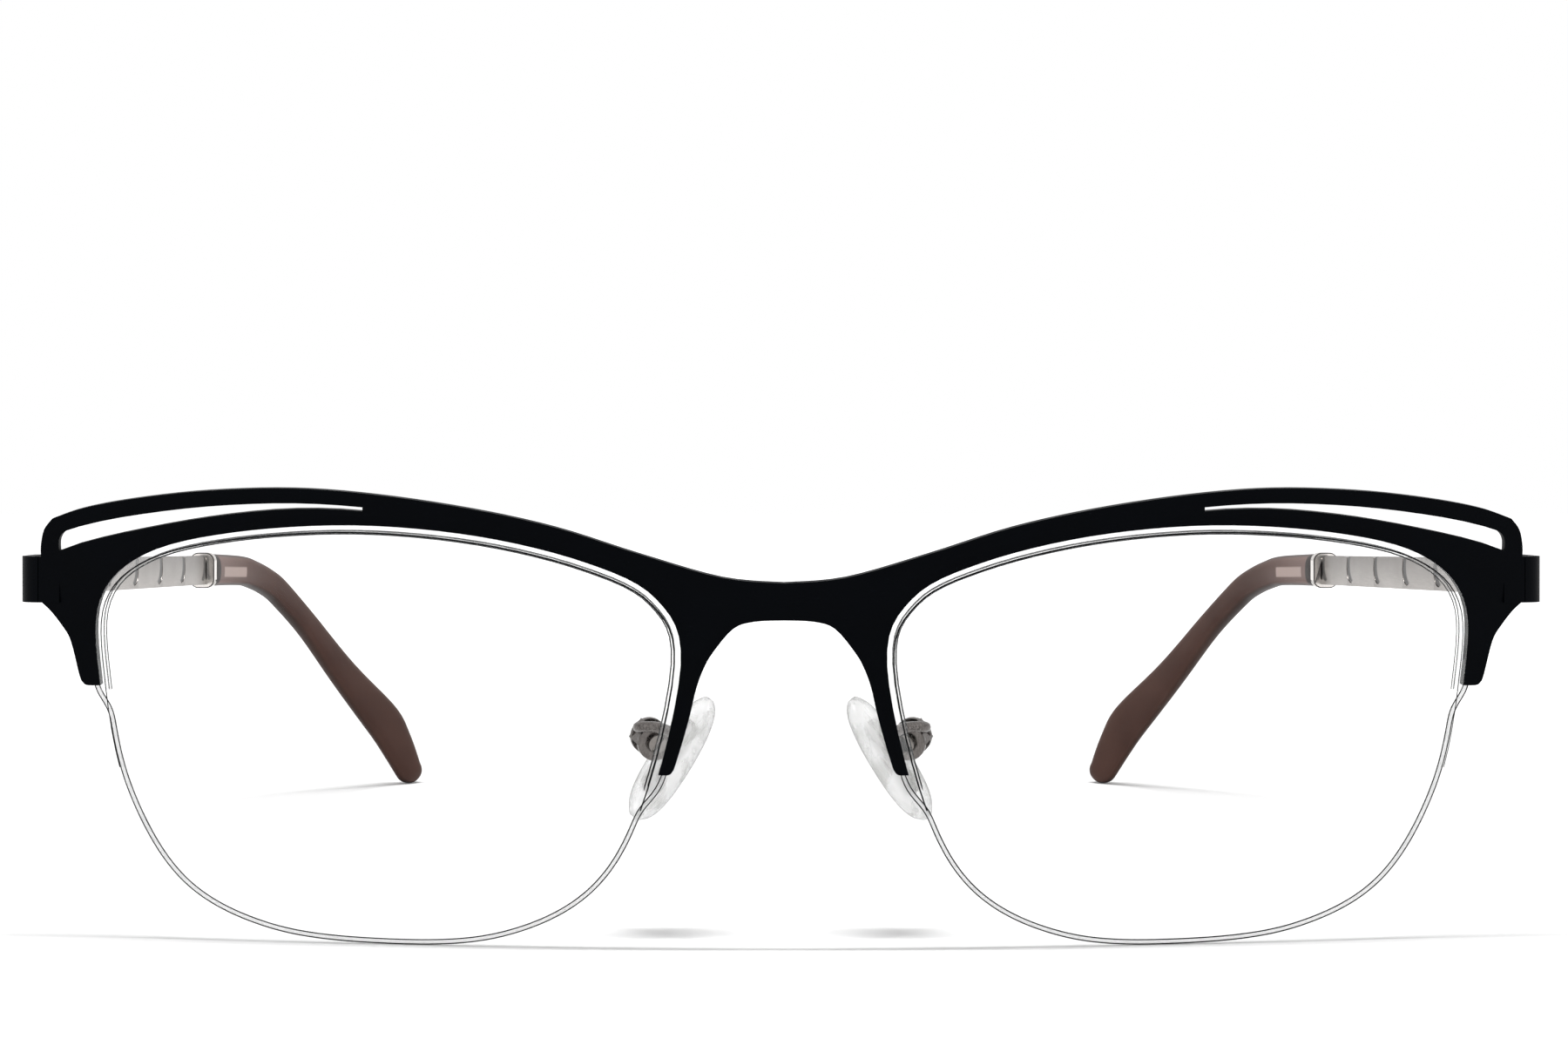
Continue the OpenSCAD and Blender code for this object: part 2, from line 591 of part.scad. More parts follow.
// Hard tab moulded into the pad, with the hole for the pad screw
pad_face = cheek_r + 0.15;
core_in = pad_face + 0.5;
plate_t = 0.5;
pad_drop = 0.6;
module core_shape(gap) {
    translate([-core_in - plate_t - gap, 0, -pad_drop]) rotate([0, 90, 0]) linear_extrude(plate_t + 2 * gap)
        rounded(pad_l * 0.6 + 2 * gap, pad_w * 0.5 + 2 * gap, pad_w * 0.2);
    translate([-core_in - gap / 2, -tab_t / 2 - gap, -tab_r - gap])
        cube([core_in, tab_t + 2 * gap, 2 * (tab_r + gap)]);
}
module pad_core(side) color("#e6e8e8") on_pad(side) difference() {
    union() {
        core_shape(0);
        rotate([90, 0, 0]) cylinder(r = tab_r, h = tab_t, center = true);
    }
    rotate([90, 0, 0]) cylinder(r = pad_screw_r + screw_gap, h = 2 * tab_t, center = true);
}

// Clear silicone pad: flat towards the box, domed towards the nose, wider low down
pad_rings = 15;
pad_sides = 16;
pad_flat = 0.38;
function pad_end(t) = sqrt(1 - pow(abs(t * 0.985), 2.4));
function pad_depth(c) = pad_flat - (c < 0 ? (1 - pad_flat) * c : pad_flat * soft(c));
function pad_ring(i) = let (t = 2 * i / (pad_rings - 1) - 1, e = pad_end(t), f = pow(e, 0.6))
    [for (k = [0:pad_sides - 1]) let (a = 360 * k / pad_sides)
        [-pad_face - pad_t * (pad_flat * (1 - f) + f * pad_depth(cos(a))),
            pad_w / 2 * e * (1 - 0.12 * t) * sin(a), t * pad_l / 2 - pad_drop]];
module nose_pad(side) color("#eef1f1", 0.6) on_pad(side) difference() {
    ringed([for (i = [0:pad_rings - 1]) each pad_ring(i)], pad_rings, pad_sides);
    core_shape(fit_gap);
}

brow_front();
rim_liner(left);  // rim_liner_left
rim_liner(right);  // rim_liner_right
lens(left);  // lens_left
lens(right);  // lens_right
lens_cord(left);  // lens_cord_left
lens_cord(right);  // lens_cord_right
pad_arm(left);  // pad_arm_left
pad_arm(right);  // pad_arm_right
pad_screw(left);  // pad_screw_left
pad_screw(right);  // pad_screw_right
pad_core(left);  // pad_core_left
pad_core(right);  // pad_core_right
nose_pad(left);  // nose_pad_left
nose_pad(right);  // nose_pad_right
hinge_front_leaf(left);  // hinge_front_leaf_left
hinge_front_leaf(right);  // hinge_front_leaf_right
hinge_screw(left);  // hinge_screw_left
hinge_screw(right);  // hinge_screw_right
hinge_temple_leaf(left);  // hinge_temple_leaf_left
hinge_temple_leaf(right);  // hinge_temple_leaf_right
temple(left);  // temple_left
temple(right);  // temple_right
collar(left);  // collar_left
collar(right);  // collar_right
temple_tip(left);  // temple_tip_left
temple_tip(right);  // temple_tip_right
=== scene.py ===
import math

import bpy
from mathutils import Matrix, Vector
from mathutils.bvhtree import BVHTree


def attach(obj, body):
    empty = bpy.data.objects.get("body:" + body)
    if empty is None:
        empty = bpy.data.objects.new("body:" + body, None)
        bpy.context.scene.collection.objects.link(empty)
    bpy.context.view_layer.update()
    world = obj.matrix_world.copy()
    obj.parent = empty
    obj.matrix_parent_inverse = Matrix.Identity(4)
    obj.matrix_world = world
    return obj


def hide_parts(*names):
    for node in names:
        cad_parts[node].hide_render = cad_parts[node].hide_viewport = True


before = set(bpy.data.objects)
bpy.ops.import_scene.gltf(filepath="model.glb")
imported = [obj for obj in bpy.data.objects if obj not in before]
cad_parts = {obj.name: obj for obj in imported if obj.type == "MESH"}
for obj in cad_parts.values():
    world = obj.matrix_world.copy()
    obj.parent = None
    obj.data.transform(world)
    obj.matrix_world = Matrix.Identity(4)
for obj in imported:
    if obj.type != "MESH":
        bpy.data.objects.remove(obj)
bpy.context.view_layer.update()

bl_info = {
    "name": "Browline glasses",
    "version": (1, 0, 0),
    "blender": (4, 5, 0),
    "location": "View3D > Sidebar > Browline",
    "description": "Dresses the half-rim browline glasses and sets their table and lights",
    "category": "Object",
}

SIDES = ("left", "right")
MM = 0.001

# Vertices nearer than this are one
WELD = 0.0015 * MM

# Places along the temples, as the solids have them
HINGE_Y = -54.83 * MM
HINGE_Z = 32.76 * MM
STRIP_SLOPE = -1.7 / 71.5
PETAL_Y = -40.94 * MM
PETAL_PITCH = 11.193 * MM
CRESCENT_OUTER = (PETAL_PITCH - 1.6 * MM, 0.4 * MM, 0)
CRESCENT_INNER = (PETAL_PITCH - 3.15 * MM, 0.75 * MM, 0)
COLLAR_Y = 16.63 * MM
TIP_Z = 31.06 * MM
TIP_SLOPE = -0.037
CORE_SHOWS = (4.6 * MM, 13.5 * MM)
CORE_HALF = 0.6 * MM
TIP_END_DARK = 2.9 * MM

# How near a lens edge counts as its front edge, or as lying beside the cord
FRONT_REACH = 0.15 * MM
CORD_REACH = 0.72 * MM

# How near a tip's face lies to the core where it is the wall of the bore
BORE_REACH = 0.08 * MM

# Faces of a pressed crescent: smaller and lower than the faces of the strip
PRESS_AREA = 12 * MM * MM
PRESS_HEIGHT = 4 * MM


def linear(code):
    """sRGB hex, such as a8a3a0, as linear RGBA."""
    parts = [int(code[i:i + 2], 16) / 255 for i in (0, 2, 4)]
    return [c / 12.92 if c <= 0.04045 else ((c + 0.055) / 1.055) ** 2.4 for c in parts] + [1.0]


def per_mm(size):
    """Texture scale that gives features of that size, in millimetres."""
    return 1000 / size


# Settings


def colour(name, description, code):
    """A colour property whose default is an sRGB hex value."""
    return bpy.props.FloatVectorProperty(
        name=name, description=description, subtype="COLOR", size=4, min=0, max=1, default=linear(code))


def width(name, description, millimetres):
    """A length property with its default in millimetres."""
    return bpy.props.FloatProperty(
        name=name, description=description, default=millimetres * MM, min=0, unit="LENGTH")


class BrowlineFinish(bpy.types.PropertyGroup):
    """Colours of the finishes."""
    enamel: colour("Brow enamel", "Colour of the black enamel on the front", "020305")
    steel: colour("Temple metal", "Colour of the silver-grey temples", "b8b3af")
    bare: colour("Bare steel", "Colour of pad arms and hinge leaves", "807b78")
    bright: colour("Bright steel", "Colour of the screws", "8d8884")
    collar: colour("Collar", "Colour of the pale collars", "e4e0dc")
    # This dark is painted shade and painted dark reflection, for the pressed lines and rounded edges of the
    # metal
    edge_and_press_shade: colour("Patina", "Dark finish left in pressed lines and on cut edges", "24211f")
    tip: colour("Temple tip", "Colour of the translucent tips", "543b33")
    tip_thin: colour("Thin tip", "Colour of the tips by the collar", "76605a")
    core: colour("Core in the tip", "Colour of the metal core, seen through the acetate", "b5a19a")
    # The lens edge colour is painted shade: the dark line that the clear ground bevel shows
    edge: colour("Lens edge", "Colour of the ground edges of the lenses", "0f1011")


class BrowlineEdges(bpy.types.PropertyGroup):
    """Widths of the broken edges."""
    brow: width("Brow edge", "Rounding of the stamped front's edges", 0.16)
    lens: width("Lens bevel", "Safety bevel round each lens", 0.13)
    liner: width("Liner edge", "Rounding of the liners", 0.08)
    temple: width("Temple edge", "Rounding of the temples' edges", 0.12)
    hardware: width("Hardware edge", "Rounding of hinges, arms and screws", 0.1)


class BrowlineStage(bpy.types.PropertyGroup):
    """Table, camera and lights."""
    camera: bpy.props.FloatVectorProperty(
        name="Camera", description="Place of the camera", subtype="TRANSLATION", unit="LENGTH",
        default=(-0.00687, -0.31524, 0.0419))
    focal: bpy.props.FloatProperty(
        name="Focal length", description="Focal length on a 36 mm sensor, in millimetres", default=64.04)
    shift: bpy.props.FloatVectorProperty(
        name="Lens shift", description="Sideways and upward shift of the picture", size=2,
        default=(0.0498, -0.0278))
    floor_size: bpy.props.FloatProperty(
        name="Table size", description="Width of the white table", default=6.0, unit="LENGTH")


# Materials


def add(tree, kind, sockets, **settings):
    """A node with its settings; a socket's value is a number, a colour or another node's output."""
    made = tree.nodes.new(kind)
    for key, value in settings.items():
        setattr(made, key, value)
    for key, value in sockets.items():
        if isinstance(value, bpy.types.NodeSocket):
            tree.links.new(value, made.inputs[key])
        else:
            made.inputs[key].default_value = value
    return made


def started(name):
    """A new material with its tree, its Principled surface and its object coordinates."""
    material = bpy.data.materials.new(name)
    material.use_nodes = True
    tree = material.node_tree
    tree.nodes.clear()
    surface = add(tree, "ShaderNodeBsdfPrincipled", {})
    add(tree, "ShaderNodeOutputMaterial", {"Surface": surface.outputs["BSDF"]})
    place = add(tree, "ShaderNodeTexCoord", {}).outputs["Object"]
    return material, tree, surface, place


def set_sockets(surface, **values):
    """Fixed values on a surface's sockets, with _ for a space in their names."""
    for key, value in values.items():
        surface.inputs[key.replace("_", " ")].default_value = value


def drive(tree, surface, **outputs):
    """Links outputs to a surface's sockets, with _ for a space in their names."""
    for key, output in outputs.items():
        tree.links.new(output, surface.inputs[key.replace("_", " ")])


def baked_enamel():
    # Baked black enamel on stamped stainless sheet: deep black, satin, with a faint orange peel
    finish = bpy.context.scene.browline_finish
    material, tree, surface, place = started("baked_enamel_on_stamped_steel")
    set_sockets(surface, Metallic=0.0, IOR=1.5, Specular_IOR_Level=0.025)
    cloud = add(tree, "ShaderNodeTexNoise", {"Vector": place, "Scale": per_mm(5), "Detail": 3.0})
    shade = add(tree, "ShaderNodeMix", {0: cloud.outputs["Fac"], 6: finish.enamel, 7: linear("04060a")},
                data_type="RGBA")
    peel = add(tree, "ShaderNodeTexNoise", {"Vector": place, "Scale": per_mm(0.35), "Detail": 2.0})
    rough = add(tree, "ShaderNodeMapRange", {"Value": cloud.outputs["Fac"], "To Min": 0.36, "To Max": 0.46})
    bump = add(tree, "ShaderNodeBump", {"Height": peel.outputs["Fac"], "Strength": 0.1,
                                        "Distance": 0.01 * MM})
    drive(tree, surface, Base_Color=shade.outputs[2], Roughness=rough.outputs[0], Normal=bump.outputs[0])
    return material


def brushed_steel(name, tone, along, line, rough_low, rough_high, darker):
    # Nickel silver or stainless steel: grey metal with fine brushing lines along one axis
    material, tree, surface, place = started(name)
    set_sockets(surface, Metallic=1.0)
    stretch = [per_mm(line)] * 3
    stretch["xyz".index(along)] = per_mm(line * 30)
    lines = add(tree, "ShaderNodeMapping", {"Vector": place, "Scale": stretch})
    grain = add(tree, "ShaderNodeTexNoise", {"Vector": lines.outputs[0], "Scale": 1.0, "Detail": 3.0})
    patch = add(tree, "ShaderNodeTexNoise", {"Vector": place, "Scale": per_mm(4), "Detail": 2.0})
    shade = add(tree, "ShaderNodeMix", {0: grain.outputs["Fac"], 6: darker, 7: tone}, data_type="RGBA")
    both = add(tree, "ShaderNodeMath", {0: grain.outputs["Fac"], 1: patch.outputs["Fac"]},
               operation="MULTIPLY")
    rough = add(tree, "ShaderNodeMapRange", {"Value": both.outputs[0], "From Max": 0.5, "To Min": rough_low,
                                             "To Max": rough_high})
    bump = add(tree, "ShaderNodeBump", {"Height": grain.outputs["Fac"], "Strength": 0.15,
                                        "Distance": 0.01 * MM})
    drive(tree, surface, Base_Color=shade.outputs[2], Roughness=rough.outputs[0], Normal=bump.outputs[0])
    return material


def painted_edge_shade(name, tone):
    # Painted shade: a dark finish put in pressed lines and on the rounded edges of the metal, for the shade
    # and dark reflections seen there
    material, tree, surface, place = started(name)
    set_sockets(surface, Metallic=0.0, Specular_IOR_Level=0.15)
    mottle = add(tree, "ShaderNodeTexNoise", {"Vector": place, "Scale": per_mm(0.7), "Detail": 3.0})
    shade = add(tree, "ShaderNodeMix", {0: mottle.outputs["Fac"], 6: tone, 7: linear("3a3634")},
                                        data_type="RGBA")
    rough = add(tree, "ShaderNodeMapRange", {"Value": mottle.outputs["Fac"], "To Min": 0.3, "To Max": 0.5})
    drive(tree, surface, Base_Color=shade.outputs[2], Roughness=rough.outputs[0])
    return material


def lens_plastic():
    # Cast demo lens: clear polished plastic, seen only where it turns away and mirrors the room
    material, tree, surface, place = started("polished_clear_lens_plastic")
    set_sockets(surface, Base_Color=linear("a4abad"), IOR=1.5)
    turn = add(tree, "ShaderNodeLayerWeight", {"Blend": 0.5})
    thin = add(tree, "ShaderNodeMapRange", {"Value": turn.outputs["Facing"], "From Min": 0.25,
                                            "To Min": 0.004, "To Max": 0.3})
    haze = add(tree, "ShaderNodeTexNoise", {"Vector": place, "Scale": per_mm(18), "Detail": 2.0})
    rough = add(tree, "ShaderNodeMapRange", {"Value": haze.outputs["Fac"], "To Min": 0.02, "To Max": 0.07})
    drive(tree, surface, Roughness=rough.outputs[0], Alpha=thin.outputs[0])
    return material


def ground_edge(name, tone, alpha_low, alpha_high):
    # Ground edge of clear plastic: a dark tone given here is painted shade, for the dark of the room that
    # the edge gathers, and reads as a thin line
    material, tree, surface, place = started(name)
    set_sockets(surface, IOR=1.5, Specular_IOR_Level=0.03)
    marks = add(tree, "ShaderNodeTexNoise", {"Vector": place, "Scale": per_mm(0.5), "Detail": 2.0})
    shade = add(tree, "ShaderNodeMix", {0: marks.outputs["Fac"], 6: tone, 7: linear("141517")},
                data_type="RGBA")
    rough = add(tree, "ShaderNodeMapRange", {"Value": marks.outputs["Fac"], "To Min": 0.25, "To Max": 0.5})
    thin = add(tree, "ShaderNodeMapRange", {"Value": marks.outputs["Fac"], "To Min": alpha_low,
                                            "To Max": alpha_high})
    drive(tree, surface, Base_Color=shade.outputs[2], Roughness=rough.outputs[0], Alpha=thin.outputs[0])
    return material


def clear_nylon(name, tone, dark, alpha_face, alpha_rim, turned):
    # Extruded nylon: clear in the middle, with painted shade where the round side turns away, drawn as dark
    # lines
    material, tree, surface, place = started(name)
    set_sockets(surface, IOR=1.53, Specular_IOR_Level=0.04)
    turn = add(tree, "ShaderNodeLayerWeight", {"Blend": 0.5})
    rim = add(tree, "ShaderNodeMapRange", {"Value": turn.outputs["Facing"], "From Min": turned,
                                           "From Max": turned + 0.12})
    draw = add(tree, "ShaderNodeTexNoise", {"Vector": place, "Scale": per_mm(1.2), "Detail": 2.0})
    shade = add(tree, "ShaderNodeMix", {0: rim.outputs[0], 6: tone, 7: dark}, data_type="RGBA")
    rough = add(tree, "ShaderNodeMapRange", {"Value": draw.outputs["Fac"], "To Min": 0.12, "To Max": 0.24})
    thin = add(tree, "ShaderNodeMapRange", {"Value": rim.outputs[0], "To Min": alpha_face,
                                            "To Max": alpha_rim})
    drive(tree, surface, Base_Color=shade.outputs[2], Roughness=rough.outputs[0], Alpha=thin.outputs[0])
    return material


def clear_silicone():
    # Injection-moulded silicone: water-clear, with grey streaks painted along it for the refraction in it,
    # and painted grey shade where it turns away
    material, tree, surface, place = started("moulded_clear_silicone")
    set_sockets(surface, IOR=1.41, Transmission_Weight=0.55, Specular_IOR_Level=0.25)
    turn = add(tree, "ShaderNodeLayerWeight", {"Blend": 0.5})
    cloud = add(tree, "ShaderNodeTexNoise", {"Vector": place, "Scale": per_mm(1.6), "Detail": 3.0})
    long = add(tree, "ShaderNodeMapping", {"Vector": place, "Scale": (1.0, 1.0, 0.4)})
    patch = add(tree, "ShaderNodeTexNoise", {"Vector": long.outputs[0], "Scale": per_mm(1.8),
                                             "Detail": 3.0})
    clear = add(tree, "ShaderNodeMapRange", {"Value": patch.outputs["Fac"], "From Min": 0.48,
                                             "From Max": 0.62})
    body = add(tree, "ShaderNodeMix", {0: clear.outputs[0], 6: linear("ffffff"), 7: linear("bcbdb9")},
               data_type="RGBA")
    rim = add(tree, "ShaderNodeMapRange", {"Value": turn.outputs["Facing"], "From Min": 0.55,
                                           "From Max": 0.85})
    shade = add(tree, "ShaderNodeMix", {0: rim.outputs[0], 6: body.outputs[2], 7: linear("5c5f5c")},
                data_type="RGBA")
    thin = add(tree, "ShaderNodeMapRange", {"Value": rim.outputs[0], "To Min": 0.6, "To Max": 0.85})
    rough = add(tree, "ShaderNodeMapRange", {"Value": cloud.outputs["Fac"], "To Min": 0.14, "To Max": 0.28})
    bump = add(tree, "ShaderNodeBump", {"Height": cloud.outputs["Fac"], "Strength": 0.2,
                                        "Distance": 0.05 * MM})
    drive(tree, surface, Base_Color=shade.outputs[2], Alpha=thin.outputs[0], Roughness=rough.outputs[0],
          Normal=bump.outputs[0])
    return material


def clear_insert():
    # Moulded polycarbonate insert: clear, a shade greyer than the silicone round it
    material, tree, surface, place = started("moulded_polycarbonate_insert")
    set_sockets(surface, Base_Color=linear("f4f4f2"), IOR=1.46, Transmission_Weight=0.7, Alpha=0.35)
    flow = add(tree, "ShaderNodeTexNoise", {"Vector": place, "Scale": per_mm(0.9), "Detail": 3.0})
    rough = add(tree, "ShaderNodeMapRange", {"Value": flow.outputs["Fac"], "To Min": 0.12, "To Max": 0.35})
    drive(tree, surface, Roughness=rough.outputs[0])
    return material


def between(tree, value, low, high, soft):
    """1 where the value lies between the two, else 0, with soft ends."""
    up = add(tree, "ShaderNodeMapRange", {"Value": value, "From Min": low - soft, "From Max": low + soft})
    down = add(tree, "ShaderNodeMapRange", {"Value": value, "From Min": high - soft,
                                            "From Max": high + soft, "To Min": 1.0, "To Max": 0.0})
    both = add(tree, "ShaderNodeMath", {0: up.outputs[0], 1: down.outputs[0]}, operation="MULTIPLY")
    return both.outputs[0]


def height_over(tree, apart, start, slope):
    """Height over a line that starts at (Y, Z) and runs back with that slope."""
    run = add(tree, "ShaderNodeMath", {0: apart.outputs["Y"], 1: -start[0]}, operation="ADD")
    line = add(tree, "ShaderNodeMath", {0: run.outputs[0], 1: slope, 2: start[1]}, operation="MULTIPLY_ADD")
    over = add(tree, "ShaderNodeMath", {0: apart.outputs["Z"], 1: line.outputs[0]}, operation="SUBTRACT")
    return over.outputs[0]


def brown_acetate():
    # Cellulose acetate tip: deep brown, polished, a little cloudy; the core shows through by the collar.
    # Painted shade darkens its top and bottom faces and its end by the collar.
    finish = bpy.context.scene.browline_finish
    material, tree, surface, place = started("polished_brown_acetate")
    set_sockets(surface, IOR=1.48, Specular_IOR_Level=0.1)
    apart = add(tree, "ShaderNodeSeparateXYZ", {"Vector": place})
    normal = add(tree, "ShaderNodeTexCoord", {}).outputs["Normal"]
    facing = add(tree, "ShaderNodeSeparateXYZ", {"Vector": normal})
    upright = add(tree, "ShaderNodeMath", {0: facing.outputs["Z"]}, operation="ABSOLUTE")
    # Painted shade on the top and bottom faces of the tip
    rim = add(tree, "ShaderNodeMapRange", {"Value": upright.outputs[0], "From Min": 0.55, "From Max": 0.9,
                                           "To Max": 0.85})
    thin = add(tree, "ShaderNodeMapRange", {"Value": apart.outputs["Y"], "From Min": COLLAR_Y + 3 * MM,
                                            "From Max": COLLAR_Y + 24 * MM, "To Min": 1.0, "To Max": 0.0},
               interpolation_type="SMOOTHSTEP")
    cloud = add(tree, "ShaderNodeTexNoise", {"Vector": place, "Scale": per_mm(7), "Detail": 3.0,
                                             "Distortion": 0.6})
    deep = add(tree, "ShaderNodeMix", {0: cloud.outputs["Fac"], 6: linear("3a251f"), 7: finish.tip},
               data_type="RGBA")
    shade = add(tree, "ShaderNodeMix", {0: thin.outputs[0], 6: deep.outputs[2], 7: finish.tip_thin},
                data_type="RGBA")
    # Painted shade at the tip's end by the collar
    end = between(tree, apart.outputs["Y"], COLLAR_Y - 2 * MM, COLLAR_Y + TIP_END_DARK, 0.2 * MM)
    dark = add(tree, "ShaderNodeMath", {0: rim.outputs[0], 1: end}, operation="MAXIMUM")
    lined = add(tree, "ShaderNodeMix", {0: dark.outputs[0], 6: shade.outputs[2], 7: linear("1e1310")},
                data_type="RGBA")
    along = between(tree, apart.outputs["Y"], COLLAR_Y + CORE_SHOWS[0], COLLAR_Y + CORE_SHOWS[1],
                    0.2 * MM)
    over = height_over(tree, apart, (COLLAR_Y, TIP_Z - 0.2 * MM), TIP_SLOPE)
    level = between(tree, over, -CORE_HALF, CORE_HALF, 0.1 * MM)
    window = add(tree, "ShaderNodeMath", {0: along, 1: level}, operation="MULTIPLY")
    core = add(tree, "ShaderNodeMix", {0: window.outputs[0], 6: lined.outputs[2], 7: finish.core},
               data_type="RGBA")
    fine = add(tree, "ShaderNodeTexNoise", {"Vector": place, "Scale": per_mm(3), "Detail": 2.0})
    rough = add(tree, "ShaderNodeMapRange", {"Value": fine.outputs["Fac"], "To Min": 0.34, "To Max": 0.4})
    drive(tree, surface, Base_Color=core.outputs[2], Roughness=rough.outputs[0])
    return material


def petalled_strip():
    # Brushed nickel silver with painted shade: a dark crescent at the rear of each petal, and a greyer tone
    # towards the strip's top and each petal's rear, for the shading of the raised petals
    finish = bpy.context.scene.browline_finish
    material = brushed_steel("brushed_nickel_silver_strip", finish.steel, "y", 0.1, 0.26, 0.4,
                             linear("87827e"))
    tree = material.node_tree
    surface = next(n for n in tree.nodes if n.type == "BSDF_PRINCIPLED")
    plain = surface.inputs["Base Color"].links[0].from_socket
    place = add(tree, "ShaderNodeTexCoord", {}).outputs["Object"]
    apart = add(tree, "ShaderNodeSeparateXYZ", {"Vector": place})
    run = add(tree, "ShaderNodeMath", {0: apart.outputs["Y"], 1: -PETAL_Y}, operation="ADD")
    petal = add(tree, "ShaderNodeMath", {0: run.outputs[0], 1: PETAL_PITCH}, operation="FLOORED_MODULO")
    over = height_over(tree, apart, (HINGE_Y, HINGE_Z), STRIP_SLOPE)
    spot = add(tree, "ShaderNodeCombineXYZ", {"X": petal.outputs[0], "Y": over})
    outer = add(tree, "ShaderNodeVectorMath", {0: spot.outputs[0], 1: CRESCENT_OUTER}, operation="DISTANCE")
    inner = add(tree, "ShaderNodeVectorMath", {0: spot.outputs[0], 1: CRESCENT_INNER}, operation="DISTANCE")
    inside = add(tree, "ShaderNodeMapRange", {"Value": outer.outputs["Value"], "From Min": 1.6 * MM,
                                              "From Max": 1.75 * MM, "To Min": 1.0, "To Max": 0.0})
    outside = add(tree, "ShaderNodeMapRange", {"Value": inner.outputs["Value"], "From Min": 1.75 * MM,
                                               "From Max": 2.15 * MM})
    first = add(tree, "ShaderNodeMapRange", {"Value": run.outputs[0], "From Min": 0.3 * PETAL_PITCH,
                                             "From Max": 0.4 * PETAL_PITCH})
    ring = add(tree, "ShaderNodeMath", {0: inside.outputs[0], 1: outside.outputs[0]}, operation="MULTIPLY")
    crescent = add(tree, "ShaderNodeMath", {0: ring.outputs[0], 1: first.outputs[0]}, operation="MULTIPLY")
    # Painted shade: the strip darker towards its top and towards each petal's rear
    rise = add(tree, "ShaderNodeMapRange", {"Value": over, "From Min": -1.4 * MM, "From Max": 1.7 * MM,
                                            "To Max": 0.7})
    fade = add(tree, "ShaderNodeMapRange", {"Value": petal.outputs[0], "From Min": 0.55 * PETAL_PITCH,
                                            "From Max": PETAL_PITCH, "To Max": 0.35})
    petal_shade = add(tree, "ShaderNodeMath", {0: rise.outputs[0], 1: fade.outputs[0]}, operation="MAXIMUM")
    shaded_plain = add(tree, "ShaderNodeMix", {0: petal_shade.outputs[0], 6: plain, 7: linear("5e5956")}, data_type="RGBA")
    dark = add(tree, "ShaderNodeMix", {0: crescent.outputs[0], 6: shaded_plain.outputs[2], 7: finish.edge_and_press_shade},
               data_type="RGBA")
    drive(tree, surface, Base_Color=dark.outputs[2])
    return material


def open_bore():
    # Wall of the bore in a tip: wetted by the core, so it is hardly seen
    material, tree, surface, place = started("clear_bore_wall")
    set_sockets(surface, Base_Color=linear("6b564e"), IOR=1.48, Specular_IOR_Level=0.1, Alpha=0.06)
    film = add(tree, "ShaderNodeTexNoise", {"Vector": place, "Scale": per_mm(1), "Detail": 2.0})
    rough = add(tree, "ShaderNodeMapRange", {"Value": film.outputs["Fac"], "To Min": 0.2, "To Max": 0.4})
    drive(tree, surface, Roughness=rough.outputs[0])
    return material


def white_table():
    # Matt white paper under the glasses: it shows as plain white, and keeps their shadow
    material, tree, surface, place = started("matt_white_paper")
    set_sockets(surface, Roughness=0.95, Specular_IOR_Level=0.0)
    pulp = add(tree, "ShaderNodeTexNoise", {"Vector": place, "Scale": per_mm(2), "Detail": 2.0})
    shade = add(tree, "ShaderNodeMix", {0: pulp.outputs["Fac"], 6: linear("f1f1f1"), 7: linear("f3f3f3")},
                data_type="RGBA")
    drive(tree, surface, Base_Color=shade.outputs[2])
    seen = seen_rays(tree)
    away = add(tree, "ShaderNodeVectorMath", {0: place}, operation="LENGTH")
    far = add(tree, "ShaderNodeMapRange", {"Value": away.outputs["Value"], "From Min": 0.12,
                                           "From Max": 0.6, "To Min": 0.1, "To Max": 0.9})
    glow = add(tree, "ShaderNodeMath", {0: seen, 1: far.outputs[0]}, operation="MULTIPLY")
    light = add(tree, "ShaderNodeEmission", {"Color": linear("ffffff"), "Strength": glow.outputs[0]})
    total = add(tree, "ShaderNodeAddShader", {0: surface.outputs["BSDF"], 1: light.outputs[0]})
    out = next(n for n in tree.nodes if n.type == "OUTPUT_MATERIAL")
    tree.links.new(total.outputs[0], out.inputs["Surface"])
    return material


def seen_rays(tree):
    """1 for camera, glossy and transmission rays, else 0."""
    path = add(tree, "ShaderNodeLightPath", {})
    two = add(tree, "ShaderNodeMath", {0: path.outputs["Is Camera Ray"], 1: path.outputs["Is Glossy Ray"]},
              operation="MAXIMUM")
    three = add(tree, "ShaderNodeMath", {0: two.outputs[0], 1: path.outputs["Is Transmission Ray"]},
                operation="MAXIMUM")
    return three.outputs[0]


# Making


def only(piece):
    """Selects that object alone and makes it active."""
    bpy.ops.object.select_all(action="DESELECT")
    piece.select_set(True)
    bpy.context.view_layer.objects.active = piece


def worked_copy(node, name, materials=(), quads=False):
    """The solid's faces as one clean shell with those materials, ready to be finished."""
    piece = bpy.data.objects.new(name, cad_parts[node].data.copy())
    bpy.context.scene.collection.objects.link(piece)
    piece.data.name = name
    piece.data.materials.clear()
    for material in materials:
        piece.data.materials.append(material)
    only(piece)
    bpy.ops.object.mode_set(mode="EDIT")
    bpy.ops.mesh.select_all(action="SELECT")
    bpy.ops.mesh.remove_doubles(threshold=WELD)
    if quads:
        bpy.ops.mesh.tris_convert_to_quads(face_threshold=math.radians(40),
                                           shape_threshold=math.radians(60))
    else:
        bpy.ops.mesh.dissolve_limited(angle_limit=math.radians(0.4))
    bpy.ops.object.mode_set(mode="OBJECT")
    return piece


def apply_modifiers(piece):
    only(piece)
    for modifier in list(piece.modifiers):
        bpy.ops.object.modifier_apply(modifier=modifier.name)


